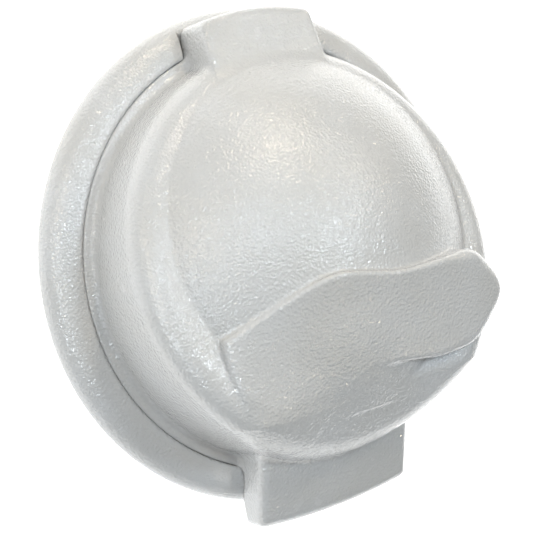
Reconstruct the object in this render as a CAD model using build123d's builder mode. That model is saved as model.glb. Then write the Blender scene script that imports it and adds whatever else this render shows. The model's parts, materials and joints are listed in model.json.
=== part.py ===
"""Hinged deck fill cap for a boat: a domed flip-up cover over a screw plug in a flanged deck fitting.

Millimetres. The origin is the centre of the fitting on the deck surface, +Z points up out of the
deck, +Y points to the hinge and -Y to the lift tab.
"""

import os

from build123d import *

os.makedirs("parts", exist_ok=True)

# Flange and deck opening
FLANGE_R = 52.0
RIM_INNER_R = 45.0
RIM_HEIGHT = 5.0
RECESS_FLOOR = 2.8
PLATEAU_R = 38.0
SPIGOT_R = 28.0
SPIGOT_DEPTH = 18.5
GASKET_OUTER_R = 41.0
GASKET_INNER_R = 29.4
GASKET_THICKNESS = 1.2

# Deck screws: the plain neck under the head is thinner than the rolled thread
SCREW_PCD = 66.0
SCREW_COUNT = 4
SCREW_R = 2.1
SCREW_NECK_R = 1.85
SCREW_THREAD_TOP = -0.05
SCREW_HOLE_R = 2.3
SCREW_HEAD_TOP = 4.9
SCREW_HEAD_R = 3.7
SCREW_HEAD_EDGE = 0.3
SCREW_HEAD_H = 2.43
SCREW_LENGTH = 22.0
SCREW_SLOT_SPAN = 4.0
SCREW_SLOT_W = 0.9
SCREW_SLOT_DEPTH = 1.1

# Fill mouth, from the plug down to the hose
MOUTH_R = 20.5
COAMING_R = 26.0
COAMING_TOP = 9.0
MOUTH_FLOOR = -9.0
LEDGE_R = 16.5
LEDGE_THICKNESS = 2.0
TAIL_SEAT_R = 24.5
TAIL_BORE_R = 16.0
TAIL_R = 19.0
TAIL_FLANGE_R = 24.2
TAIL_FLANGE_H = 3.5
TAIL_COLLAR_R = 19.6
TAIL_COLLAR_END = -20.5
TAIL_END = -48.0
TAIL_MOUTH_R = 17.8
BARB_COUNT = 3
BARB_PITCH = 3.2
BARB_GAP = 1.0
BARB_TOP = -36.0
BARB_ROOT_R = 18.4
BARB_CREST_R = 18.95

# Cover
WALL = 2.4
FOOT_R = 44.6
FOOT_BOTTOM = 3.2
FOOT_TOP = 5.0
DRUM_FOOT_R = 42.5
DRAFT = 0.06
FACE_HEIGHT = 23.8
FACE_SLOPE = 0.2
SHOULDER_R = 6.5
DOME_R = 34.3
DOME_HEIGHT = 13.3
DOME_Y = 5.0
RIDGE_TOP = 38.4
RIDGE_REAR_Y = -4.0
RIDGE_NOSE_Y = -25.5
RIDGE_LEFT_X = -30.5
RIDGE_CREST_X = -9.5
RIDGE_RIGHT_X = 32.5

# Hinge block on the cover, and lift tab
BLOCK_OUTER_W = 26.0
BLOCK_INNER_W = 28.4
BLOCK_INNER_Y = 33.0
BLOCK_END_R = 50.4
BLOCK_DROP = 1.1
BLOCK_WALL = 1.8
TAB_HALF_W = 19.0
TAB_END_Y = -55.0
TAB_INNER_Y = -38.0
TAB_TOP_INNER = 15.0
TAB_TOP_OUTER = 8.5
TAB_BOTTOM = 3.2

# Hinge
HINGE_Y = 44.5
HINGE_Z = 9.2
PIN_R = 1.25
PIN_HALF_L = 11.2
KNUCKLE_R = 2.3
KNUCKLE_BORE_R = 1.30
HEEL_R = 6.8
TROUGH_R = 7.2
ARM_INNER_X = 5.4
ARM_OUTER_X = 8.2
ARM_TOP = 11.4
ARM_UNDER = 8.1
ARM_ROOT_Y = 30.0
ARM_ROOT_END_Y = 36.6
ARM_SHOULDER_Y = 35.0
BRIDGE_Y = 37.8
BRIDGE_W = 2.0
BRIDGE_H = 1.6
LEAF_CHEEK_INNER_X = 9.0
LEAF_CHEEK_OUTER_X = 10.3
LEAF_BOTTOM = 11.7
LEAF_THICKNESS = 1.2
LEAF_SCREW_X = 2.9
LEAF_SCREW_Y = 31.0
LEAF_SCREW_R = 1.1
LEAF_SCREW_LENGTH = 7.0
LEAF_SCREW_HEAD_R = 1.9
LEAF_SCREW_HEAD_H = 1.3
WIRE_R = 0.35
COIL_R = 1.85
COIL_TURNS = 5

# Plug and its relief valve
PLUG_SKIRT_R = 20.1
PLUG_SKIRT_INNER_R = 17.6
PLUG_SKIRT_BOTTOM = -4.0
PLUG_FLANGE_R = 25.5
PLUG_FLANGE_BOTTOM = 9.7
PLATE_BOTTOM = 10.9
PLATE_TOP = 12.6
PLUG_SEAL_R = 23.2
PLUG_SEAL_SECTION_R = 1.2
GRIP_DISC_TOP = 14.8
GRIP_TOP = 20.0
GRIP_HALF_L = 20.0
GRIP_HALF_W = 5.6
GRIP_SCREW_X = 13.0
VALVE_WELL_R = 5.6
VALVE_WELL_TOP = 18.2
POPPET_R = 4.7
STEM_R = 1.25
STEM_BOTTOM = 1.0


def face_plane(drop):
    """The cover's slanted front face, moved inwards by drop."""
    normal = Vector(0, FACE_SLOPE, 1).normalized()
    return Plane(origin=Vector(0, 0, FACE_HEIGHT) - normal * drop, z_dir=normal)


def hinge_cylinder(radius, half_length):
    """A cylinder along the hinge axis."""
    rod = Cylinder(radius, 2 * half_length, mode=Mode.PRIVATE)
    return Pos(0, HINGE_Y, HINGE_Z) * Rot(0, 90, 0) * rod


def side_profile(points, half_width):
    """A prism whose outline is drawn in Y and Z and which spans X evenly."""
    with BuildPart() as prism:
        with BuildSketch(Plane.YZ):
            Polygon(*points, align=None)
        extrude(amount=half_width, both=True)
    return prism.part


# --- Forms of the cover: each is made once for the outside and once, thinner, for the hollow ---

def drum_form(skin):
    """Tapered drum cut off by the slanted face, with a rounded shoulder."""
    tall = 40.0
    bottom = FOOT_BOTTOM if skin == 0 else 0.0
    with BuildPart() as drum:
        with BuildSketch(Plane.XZ):
            Polygon(
                (0, bottom),
                (DRUM_FOOT_R - skin - DRAFT * (bottom - FOOT_TOP), bottom),
                (DRUM_FOOT_R - skin - DRAFT * (tall - FOOT_TOP), tall),
                (0, tall),
                align=None,
            )
        revolve(axis=Axis.Z)
        split(bisect_by=face_plane(skin), keep=Keep.BOTTOM)
        rim = drum.edges().filter_by(GeomType.LINE, reverse=True).sort_by(Axis.Z)[-1]
        fillet(rim, radius=SHOULDER_R - skin)
    return drum.part


def dome_form(skin):
    """Spherical cap standing on the slanted face."""
    sphere_r = (DOME_R**2 + DOME_HEIGHT**2) / (2 * DOME_HEIGHT)
    centre = DOME_HEIGHT - sphere_r
    base = -skin - 1.0
    radius = sphere_r - skin
    edge = (radius**2 - (base - centre) ** 2) ** 0.5
    seat = face_plane(0)
    middle = Vector(0, DOME_Y, FACE_HEIGHT - FACE_SLOPE * DOME_Y)
    profile = Plane(origin=middle, x_dir=(1, 0, 0), z_dir=(seat.z_dir.cross(Vector(1, 0, 0))) * -1)
    with BuildPart() as dome:
        with BuildSketch(profile):
            with BuildLine():
                Line((0, centre + radius), (0, base))
                Line((0, base), (edge, base))
                RadiusArc((edge, base), (0, centre + radius), -radius)
            make_face()
        revolve(axis=Axis(middle, seat.z_dir))
    return dome.part


def ridge_form(skin):
    """Grip ridge across the face: its left end slopes, its right end is steep."""
    top = RIDGE_TOP - skin
    low = 20.0
    with BuildPart() as ridge:
        with BuildSketch(Plane.YZ):
            Polygon(
                (RIDGE_REAR_Y - skin, low),
                (RIDGE_REAR_Y - skin, top),
                (RIDGE_NOSE_Y + 3.0 + skin, top - 2.6),
                (RIDGE_NOSE_Y + skin, top - 6.0),
                (RIDGE_NOSE_Y + skin, low),
                align=None,
            )
        extrude(amount=40, both=True)
        with BuildSketch(Plane.XZ):
            Polygon(
                (RIDGE_LEFT_X + skin, low),
                (RIDGE_LEFT_X + skin, 26.5 - skin),
                (RIDGE_CREST_X + skin, top),
                (RIDGE_RIGHT_X - 5.0 - skin, top),
                (RIDGE_RIGHT_X - skin, top - 5.0),
                (RIDGE_RIGHT_X - skin, low),
                align=None,
            )
        extrude(amount=60, both=True, mode=Mode.INTERSECT)
        if skin == 0:
            fillet(ridge.edges().filter_by(Axis.X).group_by(Axis.Z)[-1], radius=1.5)
    return ridge.part


def block_outline(margin, end_r):
    """Plan outline of the hinge block, grown by margin."""
    outer = BLOCK_OUTER_W / 2 + margin
    inner = BLOCK_INNER_W / 2 + margin
    end_y = (end_r**2 - outer**2) ** 0.5
    Line((-inner, BLOCK_INNER_Y), (-outer, end_y))
    RadiusArc((-outer, end_y), (outer, end_y), end_r)
    Line((outer, end_y), (inner, BLOCK_INNER_Y))
    Line((inner, BLOCK_INNER_Y), (-inner, BLOCK_INNER_Y))


def block_form(skin):
    """Hinge block, flush with the flange's rim, with a heel rounded about the hinge axis."""
    with BuildPart() as block:
        with BuildSketch(Plane.XY.offset(FOOT_BOTTOM if skin == 0 else 0)):
            with BuildLine():
                block_outline(-skin, BLOCK_END_R - skin)
            make_face()
        extrude(amount=25)
        split(bisect_by=face_plane(BLOCK_DROP + skin), keep=Keep.BOTTOM)
        if skin == 0:
            top = block.faces().sort_by(Axis.Z)[-1]
            fillet(top.edges().filter_by(lambda e: e.center().Y > BLOCK_INNER_Y + 1), radius=1.2)
    return block.part


def heel_cut():
    """What the block must lose behind the hinge axis so that it can turn in its trough."""
    below = Pos(0, HINGE_Y + 10, HINGE_Z - 10) * Box(60, 20, 20)
    return below - hinge_cylinder(HEEL_R, 40)


def tab_form(skin):
    """Lift tab: its top slopes from the drum down to an edge that overhangs the rim."""
    half = TAB_HALF_W - skin
    end = TAB_END_Y + skin
    with BuildPart() as tab:
        with BuildSketch(Plane.XY.offset(TAB_BOTTOM if skin == 0 else 0)):
            with BuildLine():
                Line((-half, TAB_INNER_Y), (-half, end + 1.5))
                RadiusArc((-half, end + 1.5), (half, end + 1.5), -FLANGE_R * 2)
                Line((half, end + 1.5), (half, TAB_INNER_Y))
                Line((half, TAB_INNER_Y), (-half, TAB_INNER_Y))
            make_face()
        extrude(amount=20)
        slope = side_profile(
            [
                (TAB_INNER_Y + 1, -1),
                (TAB_INNER_Y + 1, TAB_TOP_INNER - skin),
                (TAB_END_Y - 1, TAB_TOP_OUTER - skin),
                (TAB_END_Y - 1, -1),
            ],
            40,
        )
        add(slope, mode=Mode.INTERSECT)
        if skin == 0:
            top = tab.faces().sort_by(Axis.Z)[-1]
            fillet(top.edges().filter_by(lambda e: e.center().Y < TAB_INNER_Y), radius=2.0)
    return tab.part


# --- Deck fitting ---

def screw_spots():
    """Places of the deck screws, midway between the hinge, the tab and the sides."""
    return PolarLocations(SCREW_PCD / 2, SCREW_COUNT, start_angle=45)


arm_outline = [
    (ARM_ROOT_Y, RECESS_FLOOR),
    (ARM_ROOT_Y, ARM_UNDER),
    (ARM_SHOULDER_Y, ARM_TOP),
    (HINGE_Y, ARM_TOP),
    (HINGE_Y, ARM_UNDER),
    (ARM_ROOT_END_Y + 0.6, ARM_UNDER),
    (ARM_ROOT_END_Y, RECESS_FLOOR),
]
arms = side_profile(arm_outline, ARM_OUTER_X) - side_profile(arm_outline, ARM_INNER_X)
bridge = Pos(0, BRIDGE_Y, ARM_UNDER + BRIDGE_H / 2) * Box(2 * ARM_OUTER_X, BRIDGE_W, BRIDGE_H)
knuckles = hinge_cylinder(KNUCKLE_R, ARM_OUTER_X) - hinge_cylinder(KNUCKLE_R, ARM_INNER_X)

with BuildPart() as trough:
    with BuildSketch(Plane.XY):
        with BuildLine():
            block_outline(0.6, FLANGE_R + 4)
        make_face()
    extrude(amount=20)
    add(hinge_cylinder(TROUGH_R, 20), mode=Mode.INTERSECT)

with BuildPart() as deck_base:
    with BuildSketch(Plane.XZ):
        with BuildLine():
            Polyline(
                (LEDGE_R, MOUTH_FLOOR - LEDGE_THICKNESS),
                (LEDGE_R, MOUTH_FLOOR),
                (MOUTH_R, MOUTH_FLOOR),
                (MOUTH_R, COAMING_TOP),
                (COAMING_R, COAMING_TOP),
                (COAMING_R, RIM_HEIGHT),
                (PLATEAU_R, RIM_HEIGHT),
                (PLATEAU_R, RECESS_FLOOR),
                (RIM_INNER_R, RECESS_FLOOR),
                (RIM_INNER_R, RIM_HEIGHT),
            )
            EllipticalCenterArc(
                (RIM_INNER_R, 0), FLANGE_R - RIM_INNER_R, RIM_HEIGHT, start_angle=0, arc_size=90
            )
            Polyline(
                (FLANGE_R, 0),
                (GASKET_OUTER_R + 0.3, 0),
                (GASKET_OUTER_R + 0.3, GASKET_THICKNESS),
                (SPIGOT_R, GASKET_THICKNESS),
                (SPIGOT_R, -SPIGOT_DEPTH),
                (TAIL_SEAT_R, -SPIGOT_DEPTH),
                (TAIL_SEAT_R, MOUTH_FLOOR - LEDGE_THICKNESS),
                (LEDGE_R, MOUTH_FLOOR - LEDGE_THICKNESS),
            )
        make_face()
    revolve(axis=Axis.Z)
    fillet(
        deck_base.edges().filter_by(GeomType.CIRCLE).filter_by_position(Axis.Z, 8.9, 9.1),
        radius=0.6,
    )
    with Locations(Plane.XY.offset(RIM_HEIGHT)):
        with screw_spots():
            CounterSinkHole(SCREW_HOLE_R, SCREW_HEAD_R + 0.5)
    add(trough.part, mode=Mode.SUBTRACT)
    add(arms)
    add(bridge)
    add(knuckles)
    add(hinge_cylinder(PIN_R, 20), mode=Mode.SUBTRACT)
deck_base.part.label = "deck_base"
export_step(deck_base.part, "parts/deck_base.step")


with BuildPart() as deck_gasket:
    with BuildSketch(Plane.XY):
        Circle(GASKET_OUTER_R)
        Circle(GASKET_INNER_R, mode=Mode.SUBTRACT)
        with screw_spots():
            Circle(SCREW_HOLE_R, mode=Mode.SUBTRACT)
    extrude(amount=GASKET_THICKNESS)
deck_gasket.part.label = "deck_gasket"
export_step(deck_gasket.part, "parts/deck_gasket.step")


with BuildPart() as deck_screw:
    with BuildSketch(Plane.XZ):
        Polygon(
            (0, SCREW_HEAD_TOP),
            (SCREW_HEAD_R, SCREW_HEAD_TOP),
            (SCREW_HEAD_R, SCREW_HEAD_TOP - SCREW_HEAD_EDGE),
            (SCREW_NECK_R, SCREW_HEAD_TOP - SCREW_HEAD_H),
            (SCREW_NECK_R, SCREW_THREAD_TOP + SCREW_R - SCREW_NECK_R),
            (SCREW_R, SCREW_THREAD_TOP),
            (SCREW_R, SCREW_HEAD_TOP - SCREW_LENGTH + 2 * SCREW_R),
            (0, SCREW_HEAD_TOP - SCREW_LENGTH),
            align=None,
        )
    revolve(axis=Axis.Z)
    with Locations((0, 0, SCREW_HEAD_TOP)):
        Box(SCREW_SLOT_SPAN, SCREW_SLOT_W, 2 * SCREW_SLOT_DEPTH, mode=Mode.SUBTRACT)
        Box(SCREW_SLOT_W, SCREW_SLOT_SPAN, 2 * SCREW_SLOT_DEPTH, mode=Mode.SUBTRACT)

with BuildPart() as mounting_screws:
    with screw_spots():
        add(deck_screw.part)
mounting_screws.part.label = "mounting_screws"
export_step(mounting_screws.part, "parts/mounting_screws.step")


# --- Hose tail, held in the spigot from below ---

TAIL_TOP = MOUTH_FLOOR - LEDGE_THICKNESS
NECK_SEAL_R = 21.0
NECK_SEAL_SECTION_R = 0.9
GLAND_H = 3.6
GLAND_NOTCH_COUNT = 6
GLAND_NOTCH_DEPTH = 1.5
GLAND_NOTCH_W = 4.0
JOINT_GAP = 0.1

barbs = []
for index in range(BARB_COUNT):
    barb_top = BARB_TOP - index * BARB_PITCH
    barbs.append((BARB_ROOT_R, barb_top))
    barbs.append((BARB_ROOT_R, barb_top - BARB_GAP))
    barbs.append((BARB_CREST_R, barb_top - BARB_GAP))

with BuildPart() as hose_tail:
    with BuildSketch(Plane.XZ):
        Polygon(
            (TAIL_BORE_R, TAIL_TOP - JOINT_GAP),
            (TAIL_FLANGE_R, TAIL_TOP - JOINT_GAP),
            (TAIL_FLANGE_R, TAIL_TOP - TAIL_FLANGE_H),
            (TAIL_COLLAR_R, TAIL_TOP - TAIL_FLANGE_H),
            (TAIL_COLLAR_R, TAIL_COLLAR_END),
            (TAIL_R, TAIL_COLLAR_END),
            (TAIL_R, BARB_TOP),
            *barbs,
            (BARB_ROOT_R, BARB_TOP - BARB_COUNT * BARB_PITCH),
            (TAIL_MOUTH_R, TAIL_END),
            (TAIL_BORE_R, TAIL_END),
            align=None,
        )
    revolve(axis=Axis.Z)
    with Locations((0, 0, TAIL_TOP - NECK_SEAL_SECTION_R)):
        Torus(NECK_SEAL_R, NECK_SEAL_SECTION_R + 0.05, mode=Mode.SUBTRACT)
hose_tail.part.label = "hose_tail"
export_step(hose_tail.part, "parts/hose_tail.step")


with BuildPart() as neck_seal:
    with Locations((0, 0, TAIL_TOP - NECK_SEAL_SECTION_R - 0.02)):
        Torus(NECK_SEAL_R, NECK_SEAL_SECTION_R)
neck_seal.part.label = "neck_seal"
export_step(neck_seal.part, "parts/neck_seal.step")


with BuildPart() as gland_ring:
    with BuildSketch(Plane.XY.offset(TAIL_TOP - TAIL_FLANGE_H - JOINT_GAP)):
        Circle(TAIL_FLANGE_R)
        Circle(TAIL_COLLAR_R + 0.4, mode=Mode.SUBTRACT)
        with PolarLocations(TAIL_FLANGE_R, GLAND_NOTCH_COUNT):
            Rectangle(2 * GLAND_NOTCH_DEPTH, GLAND_NOTCH_W, mode=Mode.SUBTRACT)
    extrude(amount=-GLAND_H)
gland_ring.part.label = "gland_ring"
export_step(gland_ring.part, "parts/gland_ring.step")


# --- Hinge ---

CLIP_X = 10.5
CLIP_THICKNESS = 0.5
CLIP_GROOVE_R = 0.9

with BuildPart() as hinge_pin:
    with BuildSketch(Plane(origin=(0, HINGE_Y, HINGE_Z))):
        Polygon(
            (0, 0),
            (0, PIN_R),
            (CLIP_X - 0.05, PIN_R),
            (CLIP_X - 0.05, CLIP_GROOVE_R),
            (CLIP_X + CLIP_THICKNESS + 0.05, CLIP_GROOVE_R),
            (CLIP_X + CLIP_THICKNESS + 0.05, PIN_R),
            (PIN_HALF_L, PIN_R - 0.15),
            (PIN_HALF_L, 0),
            align=None,
        )
    revolve(axis=Axis((0, HINGE_Y, HINGE_Z), (1, 0, 0)))
    mirror(about=Plane.YZ)
hinge_pin.part.label = "hinge_pin"
export_step(hinge_pin.part, "parts/hinge_pin.step")


with BuildPart() as pin_clips:
    for side in (-1, 1):
        with BuildSketch(Plane(origin=(side * CLIP_X, HINGE_Y, HINGE_Z), z_dir=(side, 0, 0))):
            Circle(2.0)
            Circle(CLIP_GROOVE_R + 0.03, mode=Mode.SUBTRACT)
            with Locations((0, -1.5)):
                Rectangle(1.2, 3.0, mode=Mode.SUBTRACT)
        extrude(amount=CLIP_THICKNESS)
pin_clips.part.label = "pin_clips"
export_step(pin_clips.part, "parts/pin_clips.step")


LEAF_TOP = LEAF_BOTTOM + LEAF_THICKNESS
cheek_outline = [
    (33.0, LEAF_BOTTOM),
    (33.0, LEAF_TOP),
    (37.0, LEAF_TOP),
    (HINGE_Y + 0.8, HINGE_Z + 2.1),
    (HINGE_Y, HINGE_Z - KNUCKLE_R),
    (41.0, 8.8),
    (36.0, LEAF_BOTTOM),
]
cheeks = side_profile(cheek_outline, LEAF_CHEEK_OUTER_X) - side_profile(
    cheek_outline, LEAF_CHEEK_INNER_X
)
leaf_eyes = hinge_cylinder(KNUCKLE_R, LEAF_CHEEK_OUTER_X) - hinge_cylinder(
    KNUCKLE_R, LEAF_CHEEK_INNER_X
)

with BuildPart() as hinge_leaf:
    with BuildSketch(Plane.XY.offset(LEAF_BOTTOM)):
        with Locations((0, 31.2)):
            RectangleRounded(2 * LEAF_CHEEK_OUTER_X, 9.4, 1.5)
        with Locations((-LEAF_SCREW_X, LEAF_SCREW_Y), (LEAF_SCREW_X, LEAF_SCREW_Y)):
            Circle(1.3, mode=Mode.SUBTRACT)
    extrude(amount=LEAF_THICKNESS)
    add(cheeks)
    add(leaf_eyes)
    add(hinge_cylinder(KNUCKLE_BORE_R, 20), mode=Mode.SUBTRACT)
hinge_leaf.part.label = "hinge_leaf"
export_step(hinge_leaf.part, "parts/hinge_leaf.step")


leaf_screw_spots = [(-LEAF_SCREW_X, LEAF_SCREW_Y), (LEAF_SCREW_X, LEAF_SCREW_Y)]

with BuildPart() as leaf_screws:
    with Locations(Plane.XY.offset(LEAF_BOTTOM)):
        with Locations(*leaf_screw_spots):
            Cylinder(
                LEAF_SCREW_HEAD_R, LEAF_SCREW_HEAD_H, align=(Align.CENTER, Align.CENTER, Align.MAX)
            )
            Cylinder(
                LEAF_SCREW_R, LEAF_SCREW_LENGTH, align=(Align.CENTER, Align.CENTER, Align.MIN)
            )
    fillet(leaf_screws.edges().group_by(Axis.Z)[0], radius=0.5)
    with Locations(Plane.XY.offset(LEAF_BOTTOM - LEAF_SCREW_HEAD_H)):
        with Locations(*leaf_screw_spots):
            Box(2.2, 0.5, 1.2, mode=Mode.SUBTRACT)
            Box(0.5, 2.2, 1.2, mode=Mode.SUBTRACT)
leaf_screws.part.label = "leaf_screws"
export_step(leaf_screws.part, "parts/leaf_screws.step")


COIL_PITCH = 2 * WIRE_R + 0.08
COIL_HALF = COIL_PITCH * COIL_TURNS / 2

with BuildPart() as hinge_spring:
    with BuildLine():
        coil = Helix(
            COIL_PITCH,
            2 * COIL_HALF,
            COIL_R,
            center=(-COIL_HALF, HINGE_Y, HINGE_Z),
            direction=(1, 0, 0),
        )
    with BuildSketch(Plane(origin=coil @ 0, z_dir=coil % 0)):
        Circle(WIRE_R)
    sweep(is_frenet=True)
hinge_spring.part.label = "hinge_spring"
export_step(hinge_spring.part, "parts/hinge_spring.step")


# --- Cover ---

SEAL_OUTER_R = 43.4
SEAL_INNER_R = 41.4
SEAL_TOP = 4.2
SEAL_BOTTOM = 2.85
BOSS_R = 2.4
PILOT_R = 1.15

rim_clearance = 0.4
outer_forms = [
    drum_form(0),
    dome_form(0),
    ridge_form(0),
    block_form(0) - heel_cut(),
    tab_form(0),
]
hollow_forms = [
    drum_form(WALL),
    dome_form(WALL),
    ridge_form(WALL),
    block_form(BLOCK_WALL),
    tab_form(WALL) - Pos(0, 0, 10) * Cylinder(FOOT_R + rim_clearance, 60),
]

with BuildPart() as cover_body:
    with BuildSketch(Plane.XZ):
        Polygon(
            (0, FOOT_BOTTOM),
            (FOOT_R, FOOT_BOTTOM),
            (FOOT_R, FOOT_TOP - 0.6),
            (FOOT_R - 0.6, FOOT_TOP),
            (DRUM_FOOT_R, FOOT_TOP),
            (DRUM_FOOT_R - 0.2, FOOT_TOP + 1.0),
            (0, FOOT_TOP + 1.0),
            align=None,
        )
    revolve(axis=Axis.Z)
    for form in outer_forms:
        add(form)

with BuildPart() as rim_space:
    with BuildSketch(Plane.XZ):
        with BuildLine():
            Line((FOOT_R + rim_clearance, 0), (FOOT_R + rim_clearance, RIM_HEIGHT + rim_clearance))
            EllipticalCenterArc(
                (FOOT_R + rim_clearance, 0),
                FLANGE_R - FOOT_R,
                RIM_HEIGHT + rim_clearance,
                start_angle=0,
                arc_size=90,
            )
            Line((FLANGE_R + rim_clearance, 0), (FOOT_R + rim_clearance, 0))
        make_face()
    revolve(axis=Axis.Z)
    with BuildSketch(Plane.XY):
        with Locations((0, -FLANGE_R)):
            Rectangle(3 * FLANGE_R, 2 * FLANGE_R)
    extrude(amount=20, mode=Mode.INTERSECT)

with BuildPart() as bosses:
    with BuildSketch(Plane.XY.offset(LEAF_BOTTOM + LEAF_THICKNESS)):
        with Locations((-LEAF_SCREW_X, LEAF_SCREW_Y), (LEAF_SCREW_X, LEAF_SCREW_Y)):
            Circle(BOSS_R)
    extrude(amount=15)
    add(cover_body.part, mode=Mode.INTERSECT)

with BuildPart() as cover_shell:
    add(cover_body.part)
    for form in hollow_forms:
        add(form, mode=Mode.SUBTRACT)
    add(rim_space.part, mode=Mode.SUBTRACT)
    add(bosses.part)
    with Locations(
        (-LEAF_SCREW_X, LEAF_SCREW_Y, LEAF_BOTTOM), (LEAF_SCREW_X, LEAF_SCREW_Y, LEAF_BOTTOM)
    ):
        Cylinder(PILOT_R, 8.0, align=(Align.CENTER, Align.CENTER, Align.MIN), mode=Mode.SUBTRACT)
    with BuildSketch(Plane.XY.offset(FOOT_BOTTOM)):
        Circle(SEAL_OUTER_R + 0.05)
        Circle(SEAL_INNER_R - 0.05, mode=Mode.SUBTRACT)
        with Locations((0, 40)):
            Rectangle(BLOCK_INNER_W, 20, mode=Mode.SUBTRACT)
    extrude(amount=SEAL_TOP + 0.05 - FOOT_BOTTOM, mode=Mode.SUBTRACT)
cover_shell.part.label = "cover_shell"
export_step(cover_shell.part, "parts/cover_shell.step")


with BuildPart() as cover_seal:
    with BuildSketch(Plane.XY.offset(SEAL_BOTTOM)):
        Circle(SEAL_OUTER_R)
        Circle(SEAL_INNER_R, mode=Mode.SUBTRACT)
        with Locations((0, 40)):
            Rectangle(BLOCK_INNER_W + 0.4, 20, mode=Mode.SUBTRACT)
    extrude(amount=SEAL_TOP - SEAL_BOTTOM)
cover_seal.part.label = "cover_seal"
export_step(cover_seal.part, "parts/cover_seal.step")


# --- Filler plug ---

with BuildPart() as plug_core:
    with BuildSketch(Plane.XZ):
        Polygon(
            (0, PLATE_BOTTOM),
            (PLUG_SKIRT_INNER_R, PLATE_BOTTOM),
            (PLUG_SKIRT_INNER_R, PLUG_SKIRT_BOTTOM),
            (PLUG_SKIRT_R - 0.6, PLUG_SKIRT_BOTTOM),
            (PLUG_SKIRT_R, PLUG_SKIRT_BOTTOM + 0.8),
            (PLUG_SKIRT_R, PLUG_FLANGE_BOTTOM),
            (PLUG_FLANGE_R, PLUG_FLANGE_BOTTOM),
            (PLUG_FLANGE_R, PLATE_TOP),
            (0, PLATE_TOP),
            align=None,
        )
    revolve(axis=Axis.Z)
    with BuildSketch(Plane.XY.offset(PLUG_FLANGE_BOTTOM)):
        Circle(PLUG_SEAL_R + PLUG_SEAL_SECTION_R + 0.1)
        Circle(PLUG_SEAL_R - PLUG_SEAL_SECTION_R - 0.1, mode=Mode.SUBTRACT)
    extrude(amount=1.9, mode=Mode.SUBTRACT)
    with Locations((-GRIP_SCREW_X, 0, PLATE_BOTTOM), (GRIP_SCREW_X, 0, PLATE_BOTTOM)):
        Cylinder(3.0, 7.0, align=(Align.CENTER, Align.CENTER, Align.MAX))
    with Locations((-GRIP_SCREW_X, 0, PLATE_TOP), (GRIP_SCREW_X, 0, PLATE_TOP)):
        Cylinder(1.35, 7.5, align=(Align.CENTER, Align.CENTER, Align.MAX), mode=Mode.SUBTRACT)
    Cylinder(STEM_R + 0.05, 60, mode=Mode.SUBTRACT)
    with PolarLocations(3.0, 6):
        Cylinder(0.8, 60, mode=Mode.SUBTRACT)
plug_core.part.label = "plug_core"
export_step(plug_core.part, "parts/plug_core.step")


with BuildPart() as plug_grip:
    with BuildSketch(Plane.XY.offset(PLATE_TOP)):
        Circle(PLUG_FLANGE_R)
    extrude(amount=GRIP_DISC_TOP - PLATE_TOP)
    fillet(plug_grip.edges().group_by(Axis.Z)[-1], radius=1.0)
    with BuildSketch(Plane.XY.offset(GRIP_DISC_TOP - 0.5)):
        RectangleRounded(2 * GRIP_HALF_L, 2 * GRIP_HALF_W, GRIP_HALF_W - 0.2)
    extrude(amount=GRIP_TOP - GRIP_DISC_TOP + 0.5, taper=6)
    fillet(plug_grip.edges().group_by(Axis.Z)[-1], radius=1.2)
    with Locations((0, 0, PLATE_TOP)):
        Cylinder(VALVE_WELL_R, 2 * (VALVE_WELL_TOP - PLATE_TOP), mode=Mode.SUBTRACT)
        Box(1.6, 3 * PLUG_FLANGE_R, 1.6, mode=Mode.SUBTRACT)
    with Locations((-GRIP_SCREW_X, 0, GRIP_TOP), (GRIP_SCREW_X, 0, GRIP_TOP)):
        Cylinder(2.6, 7.0, mode=Mode.SUBTRACT)
        Cylinder(1.5, 30.0, mode=Mode.SUBTRACT)
plug_grip.part.label = "plug_grip"
export_step(plug_grip.part, "parts/plug_grip.step")


with BuildPart() as plug_seal:
    with Locations((0, 0, COAMING_TOP + PLUG_SEAL_SECTION_R + 0.02)):
        Torus(PLUG_SEAL_R, PLUG_SEAL_SECTION_R)
plug_seal.part.label = "plug_seal"
export_step(plug_seal.part, "parts/plug_seal.step")


with BuildPart() as grip_screws:
    with Locations((-GRIP_SCREW_X, 0, GRIP_TOP - 3.5), (GRIP_SCREW_X, 0, GRIP_TOP - 3.5)):
        Cylinder(2.4, 1.8, align=(Align.CENTER, Align.CENTER, Align.MIN))
        Cylinder(1.3, 10.0, align=(Align.CENTER, Align.CENTER, Align.MAX))
    fillet(grip_screws.edges().group_by(Axis.Z)[-1], radius=0.6)
    with Locations((-GRIP_SCREW_X, 0, GRIP_TOP - 1.7), (GRIP_SCREW_X, 0, GRIP_TOP - 1.7)):
        Box(2.8, 0.6, 1.4, mode=Mode.SUBTRACT)
        Box(0.6, 2.8, 1.4, mode=Mode.SUBTRACT)
grip_screws.part.label = "grip_screws"
export_step(grip_screws.part, "parts/grip_screws.step")


with BuildPart() as valve_poppet:
    with BuildSketch(Plane.XZ):
        Polygon(
            (0, STEM_BOTTOM),
            (STEM_R, STEM_BOTTOM),
            (STEM_R, 13.3),
            (POPPET_R, 13.3),
            (POPPET_R, 14.3),
            (2.0, 15.0),
            (0, 15.0),
            align=None,
        )
    revolve(axis=Axis.Z)
valve_poppet.part.label = "valve_poppet"
export_step(valve_poppet.part, "parts/valve_poppet.step")


with BuildPart() as valve_seal:
    with BuildSketch(Plane.XY.offset(PLATE_TOP + 0.02)):
        Circle(POPPET_R - 0.1)
        Circle(STEM_R + 0.02, mode=Mode.SUBTRACT)
    extrude(amount=0.66)
valve_seal.part.label = "valve_seal"
export_step(valve_seal.part, "parts/valve_seal.step")


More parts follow.
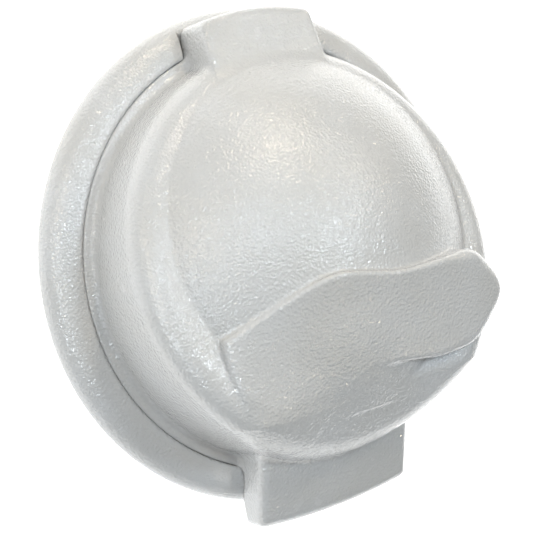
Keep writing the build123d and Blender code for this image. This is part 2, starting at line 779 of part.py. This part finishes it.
with BuildPart() as valve_retainer:
    with BuildSketch(Plane.XY.offset(STEM_BOTTOM + 0.5)):
        Circle(3.2)
        Circle(STEM_R, mode=Mode.SUBTRACT)
    extrude(amount=0.9)
valve_retainer.part.label = "valve_retainer"
export_step(valve_retainer.part, "parts/valve_retainer.step")


SPRING_BOTTOM = STEM_BOTTOM + 1.82
SPRING_TOP = PLATE_BOTTOM - 0.48
SPRING_PITCH = 1.3
SPRING_R = 2.3

with BuildPart() as valve_spring:
    with BuildLine():
        valve_coil = Helix(
            SPRING_PITCH, SPRING_TOP - SPRING_BOTTOM, SPRING_R, center=(0, 0, SPRING_BOTTOM)
        )
    with BuildSketch(Plane(origin=valve_coil @ 0, z_dir=valve_coil % 0)):
        Circle(WIRE_R)
    sweep(is_frenet=True)
valve_spring.part.label = "valve_spring"
export_step(valve_spring.part, "parts/valve_spring.step")
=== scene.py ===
import json
import math

import bpy
import numpy as np
from mathutils import Matrix, Vector


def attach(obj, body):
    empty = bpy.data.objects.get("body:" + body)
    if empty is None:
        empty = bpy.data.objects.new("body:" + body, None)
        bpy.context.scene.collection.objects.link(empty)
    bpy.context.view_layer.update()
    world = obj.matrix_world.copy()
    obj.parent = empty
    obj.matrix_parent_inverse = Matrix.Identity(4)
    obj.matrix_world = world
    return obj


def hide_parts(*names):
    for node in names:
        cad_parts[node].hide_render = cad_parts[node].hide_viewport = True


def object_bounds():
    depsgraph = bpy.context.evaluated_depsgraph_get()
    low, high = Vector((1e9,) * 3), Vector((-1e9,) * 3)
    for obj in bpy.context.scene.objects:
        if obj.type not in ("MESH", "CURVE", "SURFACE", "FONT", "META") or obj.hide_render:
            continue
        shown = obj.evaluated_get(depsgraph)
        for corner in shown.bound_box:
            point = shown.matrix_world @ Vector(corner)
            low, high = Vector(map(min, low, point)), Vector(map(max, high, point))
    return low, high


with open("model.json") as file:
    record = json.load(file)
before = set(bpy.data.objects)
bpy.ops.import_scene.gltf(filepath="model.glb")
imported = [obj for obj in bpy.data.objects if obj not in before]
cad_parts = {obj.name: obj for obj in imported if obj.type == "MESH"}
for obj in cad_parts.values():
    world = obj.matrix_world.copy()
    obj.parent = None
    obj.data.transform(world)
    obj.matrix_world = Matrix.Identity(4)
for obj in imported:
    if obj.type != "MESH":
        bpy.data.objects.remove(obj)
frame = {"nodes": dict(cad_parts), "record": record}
cad_low, cad_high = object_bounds()

# The shapes below are written in millimetres and turned into metres when their mesh is made.
MM = 0.001

# Cover and flange, on the frame's own axes. The shoulder is rounded more tightly than the CAD's.
FLANGE_R = 52.0
RIM_INNER_R = 45.0
RIM_HEIGHT = 5.0
FOOT_R = 44.8
FOOT_BOTTOM = 3.2
FOOT_TOP = 5.0
DRUM_FOOT_R = 42.5
DRAFT = 0.06
FACE_HEIGHT = 23.8
FACE_SLOPE = 0.2
SHOULDER_R = 5.2
DOME_R = 34.3
DOME_HEIGHT = 13.3
DOME_Y = 5.0
HINGE_Y = 44.5
HINGE_Z = 9.2
HEEL_R = 6.8
WALL = 2.4
BLOCK_WALL = 1.8
DOME_ROOT = 3.0
RIM_CLEARANCE = 0.4

# Front of the cover, below the ridge
CHAMFER_Y = -28.0
CHAMFER_ANGLE = 31
FRONT_EDGE_R = 4.5

# Hinge block
BLOCK_HALF_WIDTH = 14.2
BLOCK_NARROWING = 1.2
BLOCK_FRONT_Y = 33.0
BLOCK_LENGTH = 15.7
BLOCK_DROP = 1.1
BLOCK_BACK_R = 50.4
BLOCK_START_Y = 24.0

# Lift tab
TAB_HALF_WIDTH = 19.0
TAB_END_Y = -55.0
TAB_END_BOW = 240.0
TAB_SLOPE = 6.5 / 19.0
TAB_TOP = 15.0
TAB_TOP_Y = -37.0
TAB_START_Y = -30.0

# Inside the cover: two screw bosses for the hinge leaf, and the seal's groove
BOSS_X = 2.9
BOSS_Y = 31.0
BOSS_R = 2.4
BOSS_BOTTOM = 12.95
PILOT_R = 1.15
PILOT_TOP = 19.7
GROOVE_R = 42.4
GROOVE_HALF_WIDTH = 1.05
GROOVE_TOP = 4.25
GROOVE_END_Y = 30.0

SKIN_STEP = 0.42
SKIN_LOW = (-48, -58, 1)
SKIN_HIGH = (48, 54, 42)


# --- Distance fields: negative inside, positive outside ---

def round_max(a, b, radius):
    """What lies in both forms, with the edge between them rounded."""
    corner = np.hypot(np.maximum(a + radius, 0), np.maximum(b + radius, 0))
    return np.minimum(np.maximum(a, b), -radius) + corner


def round_min(a, b, radius):
    """Both forms joined, with a concave fillet between them."""
    return -round_max(-a, -b, radius)


def blend_step(low, high, value):
    """0 below low, 1 above high, and smooth between."""
    t = np.clip((value - low) / (high - low), 0, 1)
    return t * t * (3 - 2 * t)


def face_height(y):
    """Height of the cover's slanted face."""
    return FACE_HEIGHT - FACE_SLOPE * y


def drum_wall(x, y, z):
    """The drum's tapered wall."""
    return (np.hypot(x, y) - DRUM_FOOT_R + DRAFT * (z - FOOT_TOP)) / math.hypot(1, DRAFT)


def front_chamfer(y, z):
    """Flat chamfer at the front of the slanted face, below the ridge."""
    angle = math.radians(CHAMFER_ANGLE)
    rise = (z - face_height(CHAMFER_Y)) * math.cos(angle)
    return rise - (y - CHAMFER_Y) * math.sin(angle)


def drum_field(x, y, z):
    """Tapered drum with a rounded shoulder and a flat front chamfer."""
    top = (z - face_height(y)) / math.hypot(1, FACE_SLOPE)
    wall = drum_wall(x, y, z)
    front = front_chamfer(y, z)
    body = round_max(round_max(wall, top, SHOULDER_R), front, 0.8)
    return np.maximum(body, round_max(wall, front, FRONT_EDGE_R))


def dome_ball(x, y, z):
    """The whole sphere whose cap is the dome."""
    sphere_r = (DOME_R**2 + DOME_HEIGHT**2) / (2 * DOME_HEIGHT)
    slant = math.hypot(1, FACE_SLOPE)
    sink = (DOME_HEIGHT - sphere_r) / slant
    centre_y = DOME_Y + FACE_SLOPE * sink
    centre_z = face_height(DOME_Y) + sink
    return np.sqrt(x**2 + (y - centre_y) ** 2 + (z - centre_z) ** 2) - sphere_r


def dome_field(x, y, z):
    """Spherical cap on the slanted face."""
    under = (face_height(y) - DOME_ROOT - z) / math.hypot(1, FACE_SLOPE)
    return np.maximum(dome_ball(x, y, z), under)


# Grip ridge: plan line and height of its rear edge, height of its front edge, and nose, along X
RIDGE_X = (-32.0, -25.0, -16.0, -9.5, -2.0, 5.0, 15.0, 24.0, 31.0, 36.0)
RIDGE_REAR_Y = (-11.6, -8.3, -4.2, -2.3, -3.6, -5.1, -5.1, -4.6, -4.0, -4.0)
RIDGE_REAR_Z = (27.3, 31.0, 35.6, 38.3, 38.4, 38.3, 38.0, 37.4, 36.6, 36.0)
RIDGE_FRONT_Z = (29.4, 29.4, 29.5, 29.9, 30.8, 31.8, 32.6, 32.6, 31.8, 31.0)
RIDGE_NOSE_Y = (-50.0, -48.0, -40.0, -30.0, -22.6, -22.0, -23.0, -24.2, -25.0, -25.5)
RIDGE_LEFT_X = -30.3
RIDGE_RIGHT_X = 34.8
RIDGE_FRONT_Y = -28.0


def along_ridge(values, x):
    """A smooth curve along X near the given heights or places."""
    reach = 1.6
    taps = [np.interp(x + reach * k, RIDGE_X, values) for k in (-1.5, -0.5, 0.5, 1.5)]
    return sum(taps) / len(taps)


def ridge_field(x, y, z):
    """Grip ridge: a ruled top from rear edge to front edge, a rounded right end and an undercut nose."""
    rear_y = along_ridge(RIDGE_REAR_Y, x)
    rear_z = along_ridge(RIDGE_REAR_Z, x)
    front_z = along_ridge(RIDGE_FRONT_Z, x)
    nose_y = along_ridge(RIDGE_NOSE_Y, x)
    slope = (front_z - rear_z) / (RIDGE_FRONT_Y - rear_y)
    top = z - rear_z - slope * (y - rear_y)
    top = top / np.hypot(1, np.hypot(slope, 0.5 * blend_step(-9, -14, x)))
    rear = (y - rear_y) * 0.94
    lean = 1.2 * blend_step(-14, 8, x)
    steep = np.clip(np.abs(nose_y + 22.0) * 0.09, 0, 0.9)
    nose = (nose_y - y + lean * (30.5 - z)) / np.hypot(1, lean) * (1 - 0.6 * steep)
    right = x - RIDGE_RIGHT_X + 0.12 * (z - 30)
    rear_right = (x + y - 21.6) / math.hypot(1, 1)
    front_right = (1.25 * x - y - 59.6) / math.hypot(1.25, 1)
    plan = round_max(round_max(rear, rear_right, 2.5), right, 3.0)
    plan = round_max(plan, front_right, 3.0)
    plan = round_max(plan, nose, 3.5 * blend_step(6, 20, x) + 0.5)
    plan = round_max(plan, RIDGE_LEFT_X - x, 0.6)
    body = round_max(top, plan, 0.9 + 2.0 * blend_step(14, 28, x) + 1.2 * blend_step(-14, -22, y))
    wall = drum_wall(x, y, z) - 1.5 * blend_step(10, 30, x)
    front = front_chamfer(y, z) - 3.2 * blend_step(-9, 3, x)
    body = round_max(body, wall, 4.2 + 2.3 * blend_step(-10, -24, x))
    body = round_max(body, front, 0.8)
    return np.maximum(body, round_max(wall, front, FRONT_EDGE_R))


def block_field(x, y, z):
    """Hinge block behind the dome, its heel rounded about the hinge axis."""
    half_width = BLOCK_HALF_WIDTH - BLOCK_NARROWING * (y - BLOCK_FRONT_Y) / BLOCK_LENGTH
    top = (z - face_height(y) + BLOCK_DROP) / math.hypot(1, FACE_SLOPE)
    back = np.hypot(x, y) - BLOCK_BACK_R
    body = round_max(round_max(np.abs(x) - half_width, back, 1.2), top, 1.3)
    heel = np.hypot(y - HINGE_Y, z - HINGE_Z) - HEEL_R
    behind = np.maximum(HINGE_Y - y, z - HINGE_Z)
    return np.maximum(np.maximum(body, np.minimum(heel, -behind)), BLOCK_START_Y - y)


def tab_field(x, y, z):
    """Lift tab: its top slopes down to an edge that overhangs the rim."""
    side = np.abs(x) - TAB_HALF_WIDTH
    end = -y + TAB_END_Y + x**2 / TAB_END_BOW
    top = (z - TAB_TOP - TAB_SLOPE * (y - TAB_TOP_Y)) / math.hypot(1, TAB_SLOPE)
    return np.maximum(round_max(round_max(side, end, 1.6), top, 2.0), y - TAB_START_Y)


def cover_outside(x, y, z):
    """The whole outside of the cover."""
    body = round_min(drum_field(x, y, z), dome_field(x, y, z), 0.35)
    body = round_min(body, ridge_field(x, y, z), 0.5)
    body = round_min(body, block_field(x, y, z), 1.0)
    foot = round_max(np.hypot(x, y) - FOOT_R, z - FOOT_TOP, 0.5)
    body = round_min(body, foot, 1.4)
    return round_min(body, tab_field(x, y, z), 1.6)


def cover_hollow(x, y, z):
    """The room inside the cover."""
    room = np.minimum(drum_field(x, y, z), dome_field(x, y, z))
    room = np.minimum(room, ridge_field(x, y, z)) + WALL
    room = np.minimum(room, block_field(x, y, z) + BLOCK_WALL)
    up_to_dome = np.maximum(dome_ball(x, y, z), drum_wall(x, y, z)) + WALL
    up_to_dome = np.maximum(up_to_dome, face_height(y) - 2 * WALL - z)
    room = np.minimum(room, up_to_dome)
    under_tab = np.maximum(tab_field(x, y, z) + WALL, FOOT_R + RIM_CLEARANCE - np.hypot(x, y))
    return np.minimum(room, under_tab)


def rim_profile(radius, clearance):
    """Top of the flange's rolled rim at a radius."""
    reach = np.clip((radius - RIM_INNER_R) / (FLANGE_R + clearance - RIM_INNER_R), -1, 1)
    return (RIM_HEIGHT + clearance) * np.sqrt(1 - reach**2)


def cover_field(x, y, z):
    """The cover's shell."""
    radius = np.hypot(x, y)
    outside = cover_outside(x, y, z)
    shell = np.maximum(outside, -cover_hollow(x, y, z))
    over_rim = np.maximum(z - rim_profile(radius, RIM_CLEARANCE), FOOT_R + RIM_CLEARANCE - radius)
    over_rim = np.maximum(over_rim, y + 20.0)
    shell = np.maximum(shell, -over_rim)
    boss_radius = np.hypot(np.abs(x) - BOSS_X, y - BOSS_Y)
    boss = np.maximum(np.maximum(boss_radius - BOSS_R, BOSS_BOTTOM - z), outside)
    shell = np.minimum(shell, boss)
    shell = np.maximum(shell, -np.maximum(boss_radius - PILOT_R, z - PILOT_TOP))
    groove = np.maximum(np.abs(radius - GROOVE_R) - GROOVE_HALF_WIDTH, z - GROOVE_TOP)
    groove_end = np.maximum(np.abs(x) - BLOCK_HALF_WIDTH, GROOVE_END_Y - y)
    groove = np.maximum(groove, -groove_end)
    shell = np.maximum(shell, -groove)
    return np.maximum(shell, FOOT_BOTTOM - z)


# --- Meshing ---

def skin(field, low, high, step):
    """Corners and four-sided faces of the surface where a field is zero."""
    lines = [np.arange(low[i], high[i] + step, step) for i in range(3)]
    coarse = 4
    lines = [line[: len(line) // coarse * coarse] for line in lines]
    middles = [line.reshape(-1, coarse).mean(1) for line in lines]
    value = field(*np.meshgrid(*middles, indexing="ij"))
    for axis in range(3):
        value = np.repeat(value, coarse, axis)
    near = np.argwhere(np.abs(value) < coarse * step * 1.3)
    spots = [lines[i][near[:, i]] for i in range(3)]
    value[tuple(near.T)] = field(*spots)
    value[value == 0] = 1e-6
    shape = np.array(value.shape)
    cell_ids, cell_spots, faces = [], [], []
    for axis in range(3):
        u, w = (axis + 1) % 3, (axis + 2) % 3
        before = np.take(value, range(shape[axis] - 1), axis)
        after = np.take(value, range(1, shape[axis]), axis)
        edge = np.argwhere((before < 0) != (after < 0))
        keep = (edge[:, u] > 0) & (edge[:, w] > 0)
        edge = edge[keep]
        a, b = before[tuple(edge.T)], after[tuple(edge.T)]
        spot = edge.astype(float)
        spot[:, axis] += a / (a - b)
        ring = []
        for du, dw in ((0, 0), (1, 0), (1, 1), (0, 1)):
            cell = edge.copy()
            cell[:, u] -= du
            cell[:, w] -= dw
            ident = (cell[:, 0] * shape[1] + cell[:, 1]) * shape[2] + cell[:, 2]
            ring.append(ident)
            cell_ids.append(ident)
            cell_spots.append(spot)
        quad = np.stack(ring, 1)
        quad[b < a] = quad[b < a][:, ::-1]
        faces.append(quad)
    ident, place = np.unique(np.concatenate(cell_ids), return_inverse=True)
    spots = np.concatenate(cell_spots)
    count = np.bincount(place)
    corner = np.stack([np.bincount(place, spots[:, i]) / count for i in range(3)], 1)
    corner = corner * step + [line[0] for line in lines]
    for _ in range(3):
        here = field(*corner.T)
        reach = 0.02
        slope = np.zeros_like(corner)
        for i in range(3):
            shift = np.zeros(3)
            shift[i] = reach
            slope[:, i] = (field(*(corner + shift).T) - field(*(corner - shift).T)) / (2 * reach)
        size = np.maximum((slope**2).sum(1), 0.2)
        move = -(here / size)[:, None] * slope
        corner += np.clip(move, -0.3 * step, 0.3 * step)
    faces = np.searchsorted(ident, np.concatenate(faces))
    return corner, faces


def mesh_piece(name, corner, faces):
    """A smooth-shaded object from corners in millimetres."""
    mesh = bpy.data.meshes.new(name)
    mesh.from_pydata((corner * MM).tolist(), [], faces.tolist())
    mesh.validate()
    mesh.polygons.foreach_set("use_smooth", [True] * len(mesh.polygons))
    mesh.update()
    piece = bpy.data.objects.new(name, mesh)
    bpy.context.scene.collection.objects.link(piece)
    return piece


step = SKIN_STEP
cover = mesh_piece("cover_skin", *skin(cover_field, SKIN_LOW, SKIN_HIGH, step))
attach(cover, "cover")
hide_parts("cover_shell")


# --- Materials ---

def node_material(name):
    """An empty node material: its tree, its Principled shader and its object coordinates in metres."""
    material = bpy.data.materials.new(name)
    material.use_nodes = True
    tree = material.node_tree
    shader = tree.nodes["Principled BSDF"]
    coords = tree.nodes.new("ShaderNodeTexCoord").outputs["Object"]
    return material, tree, shader, coords


def noise(tree, coords, size_mm, detail=3.0, rough=0.55):
    """Noise whose features are about size_mm across."""
    node = tree.nodes.new("ShaderNodeTexNoise")
    node.inputs["Scale"].default_value = 1 / (size_mm * MM)
    node.inputs["Detail"].default_value = detail
    node.inputs["Roughness"].default_value = rough
    tree.links.new(coords, node.inputs["Vector"])
    return node.outputs["Fac"]


def cells(tree, coords, size_mm):
    """Rounded cells about size_mm across, as in a pebble grain."""
    node = tree.nodes.new("ShaderNodeTexVoronoi")
    node.feature = "SMOOTH_F1"
    node.inputs["Scale"].default_value = 1 / (size_mm * MM)
    node.inputs["Smoothness"].default_value = 0.35
    node.inputs["Randomness"].default_value = 1.0
    tree.links.new(coords, node.inputs["Vector"])
    return node.outputs["Distance"]


def between(tree, factor, low, high):
    """Maps a 0 to 1 value onto low to high."""
    node = tree.nodes.new("ShaderNodeMapRange")
    node.inputs["From Min"].default_value = 0.3
    node.inputs["From Max"].default_value = 0.7
    node.inputs["To Min"].default_value = low
    node.inputs["To Max"].default_value = high
    tree.links.new(factor, node.inputs["Value"])
    return node.outputs["Result"]


def tint(tree, factor, first, second):
    """Colour that wanders between two colours."""
    node = tree.nodes.new("ShaderNodeValToRGB")
    node.color_ramp.elements[0].position = 0.35
    node.color_ramp.elements[1].position = 0.65
    node.color_ramp.elements[0].color = (*first, 1)
    node.color_ramp.elements[1].color = (*second, 1)
    tree.links.new(factor, node.inputs["Fac"])
    return node.outputs["Color"]


def raised(tree, heights, edge_mm=0.0):
    """Normal from height layers, each (height, depth in mm), over softened edges."""
    normal = None
    if edge_mm:
        bevel = tree.nodes.new("ShaderNodeBevel")
        bevel.samples = 6
        bevel.inputs["Radius"].default_value = edge_mm * MM
        normal = bevel.outputs["Normal"]
    for height, depth in heights:
        bump = tree.nodes.new("ShaderNodeBump")
        bump.inputs["Strength"].default_value = 1.0
        bump.inputs["Distance"].default_value = depth * MM
        tree.links.new(height, bump.inputs["Height"])
        if normal:
            tree.links.new(normal, bump.inputs["Normal"])
        normal = bump.outputs["Normal"]
    return normal


def plastic(name, colour, shade, rough, grain_mm, grain_depth, gloss=0.0, edge_mm=0.25):
    """Moulded plastic with a pebble grain and faint unevenness of colour and gloss."""
    material, tree, shader, coords = node_material(name)
    link = tree.links.new
    cloud = noise(tree, coords, 18.0)
    link(tint(tree, cloud, colour, shade), shader.inputs["Base Color"])
    link(between(tree, noise(tree, coords, 6.0), rough, rough + 0.08), shader.inputs["Roughness"])
    grain = cells(tree, coords, grain_mm)
    wrinkle = noise(tree, coords, grain_mm * 0.9, 2.0)
    layers = [(grain, grain_depth), (wrinkle, grain_depth * 1.3)]
    link(raised(tree, layers, edge_mm), shader.inputs["Normal"])
    shader.inputs["IOR"].default_value = 1.48
    shader.inputs["Coat Weight"].default_value = gloss
    shader.inputs["Coat Roughness"].default_value = 0.05
    link(shader.inputs["Normal"].links[0].from_socket, shader.inputs["Coat Normal"])
    return material


def rubber(name):
    """Black moulded rubber with a dusty bloom."""
    material, tree, shader, coords = node_material(name)
    link = tree.links.new
    bloom = tint(tree, noise(tree, coords, 5.0), (0.018, 0.018, 0.019), (0.04, 0.04, 0.042))
    link(bloom, shader.inputs["Base Color"])
    link(between(tree, noise(tree, coords, 2.0), 0.6, 0.8), shader.inputs["Roughness"])
    link(raised(tree, [(noise(tree, coords, 0.25), 0.03)], 0.15), shader.inputs["Normal"])
    return material


def steel(name, rough, stretch, depth):
    """Stainless steel, its fine marks drawn out along one direction by stretch."""
    material, tree, shader, coords = node_material(name)
    link = tree.links.new
    mapping = tree.nodes.new("ShaderNodeMapping")
    mapping.inputs["Scale"].default_value = stretch
    link(coords, mapping.inputs["Vector"])
    marks = noise(tree, mapping.outputs["Vector"], 0.3, 4.0)
    shader.inputs["Metallic"].default_value = 1.0
    colour = tint(tree, noise(tree, coords, 4.0), (0.58, 0.58, 0.59), (0.68, 0.68, 0.68))
    link(colour, shader.inputs["Base Color"])
    link(between(tree, marks, rough, rough + 0.12), shader.inputs["Roughness"])
    link(raised(tree, [(marks, depth)], 0.1), shader.inputs["Normal"])
    return material


white = plastic("white_plastic", (0.57, 0.574, 0.578), (0.54, 0.538, 0.53), 0.2, 0.6, 0.1, 1.0)
finishes = {
    "white_moulding": white,
    "black_rubber": rubber("black_rubber"),
    "stainless": steel("stainless_polished", 0.16, (1, 1, 1), 0.004),
    "stainless_sheet": steel("stainless_brushed", 0.28, (0.1, 1, 1), 0.01),
    "spring_wire": steel("spring_wire", 0.3, (1, 1, 1), 0.01),
    "black_nylon": plastic("black_nylon", (0.03, 0.03, 0.033), (0.045, 0.045, 0.05), 0.42, 0.5, 0.012),
    "grip_nylon": plastic("grip_nylon", (0.045, 0.045, 0.05), (0.065, 0.065, 0.07), 0.45, 0.7, 0.03),
    "acetal": plastic("acetal", (0.74, 0.72, 0.67), (0.68, 0.66, 0.6), 0.3, 0.4, 0.006),
}


# --- Finishes of the CAD pieces, and their coincident corners welded in a modifier; their corners stay where they are ---

slots = {row["node"]: row["material_slot"] for row in frame["record"]["subparts"]}
for node_name, node in frame["nodes"].items():
    node.data.materials.clear()
    node.data.materials.append(finishes[slots[node_name]])
    weld = node.modifiers.new("weld", "WELD")
    weld.merge_threshold = 0.002 * MM
cover.data.materials.append(white)


# --- Camera, lights and floor ---

def aim(thing, forward, up):
    """Turns a camera or light to look along forward, with up as near as can be to its top."""
    back = -Vector(forward).normalized()
    right = Vector(up).cross(back).normalized()
    thing.matrix_world = Matrix.Translation(thing.location) @ Matrix(
        (right, back.cross(right), back)
    ).transposed().to_4x4()


CAMERA_PLACE = (-146.0, 24.8, 233.6)
CAMERA_FORWARD = (0.525, -0.099, -0.845)
CAMERA_UP = (0.208, 0.978, 0.014)
CAMERA_LENS = 87.8

camera_data = bpy.data.cameras.new("camera")
camera_data.sensor_width = 36.0
camera_data.lens = CAMERA_LENS
camera_data.clip_start = 0.01
camera = bpy.data.objects.new("camera", camera_data)
bpy.context.scene.collection.objects.link(camera)
camera.location = Vector(CAMERA_PLACE) * MM
aim(camera, CAMERA_FORWARD, CAMERA_UP)
bpy.context.scene.camera = camera


def lamp(name, direction, distance, size, power, colour, height=None):
    """Soft light in a direction from the dome, turned to it: square, or size wide by height."""
    data = bpy.data.lights.new(name, "AREA")
    data.size = size
    if height:
        data.shape = "RECTANGLE"
        data.size_y = height
    data.energy = power
    data.color = colour
    light = bpy.data.objects.new(name, data)
    bpy.context.scene.collection.objects.link(light)
    target = Vector((0, 5, 30)) * MM
    light.location = target + Vector(direction).normalized() * distance
    aim(light, target - light.location, (0, 0.1, 1))


WARM = (1.0, 0.86, 0.66)
COOL = (0.82, 0.92, 1.0)
lamp("warm_strong", (0.167, 0.815, 0.554), 1.0, 0.1, 2.8, WARM)
lamp("warm_weak", (0.652, 0.445, 0.614), 1.0, 0.08, 0.9, WARM)
lamp("cool_left", (-0.263, 0.317, 0.911), 1.0, 0.09, 2.2, COOL)
lamp("cool_right", (0.345, 0.151, 0.926), 1.0, 0.12, 2.6, COOL)
lamp("warm_front", (0.31, -0.63, 0.71), 1.0, 0.05, 0.7, WARM)
lamp("window_left", (-0.78, -0.12, 0.62), 1.0, 0.4, 2.2, COOL, 0.06)
lamp("window_upper", (-0.72, 0.38, 0.6), 1.0, 0.35, 1.5, WARM, 0.05)

SKY_TOWARDS = (-0.2, 0.65, 0.73)
SKY_DARK = (0.05, 0.052, 0.058)
SKY_LIGHT = (0.86, 0.88, 0.9)

world = bpy.data.worlds.new("studio")
bpy.context.scene.world = world
world.use_nodes = True
sky = world.node_tree
sky_direction = sky.nodes.new("ShaderNodeTexCoord").outputs["Generated"]
sky_side = sky.nodes.new("ShaderNodeVectorMath")
sky_side.operation = "DOT_PRODUCT"
sky_side.inputs[1].default_value = SKY_TOWARDS
sky.links.new(sky_direction, sky_side.inputs[0])
sky_ramp = sky.nodes.new("ShaderNodeValToRGB")
sky_ramp.color_ramp.elements[0].position = 0.0
sky_ramp.color_ramp.elements[0].color = (*SKY_DARK, 1)
sky_ramp.color_ramp.elements[1].position = 0.9
sky_ramp.color_ramp.elements[1].color = (*SKY_LIGHT, 1)
sky.links.new(sky_side.outputs["Value"], sky_ramp.inputs["Fac"])
sky.links.new(sky_ramp.outputs["Color"], sky.nodes["Background"].inputs["Color"])
sky.nodes["Background"].inputs["Strength"].default_value = 0.44

FLOOR_HALF = 3.0
floor_mesh = bpy.data.meshes.new("floor")
floor_z = cad_low.z
floor_mesh.from_pydata(
    [(-FLOOR_HALF, -FLOOR_HALF, floor_z), (FLOOR_HALF, -FLOOR_HALF, floor_z),
     (FLOOR_HALF, FLOOR_HALF, floor_z), (-FLOOR_HALF, FLOOR_HALF, floor_z)],
    [],
    [(0, 1, 2, 3)],
)
floor = bpy.data.objects.new("floor", floor_mesh)
bpy.context.scene.collection.objects.link(floor)
floor_material, floor_tree, floor_shader, floor_coords = node_material("floor")
floor_tree.links.new(
    tint(floor_tree, noise(floor_tree, floor_coords, 60.0), (0.93, 0.93, 0.93), (0.95, 0.95, 0.95)),
    floor_shader.inputs["Base Color"],
)
floor_shader.inputs["Roughness"].default_value = 0.9
floor_shader.inputs["Emission Color"].default_value = (1, 1, 1, 1)
floor_shader.inputs["Emission Strength"].default_value = 0.7
floor_mesh.materials.append(floor_material)

bpy.context.scene.view_settings.view_transform = "Standard"
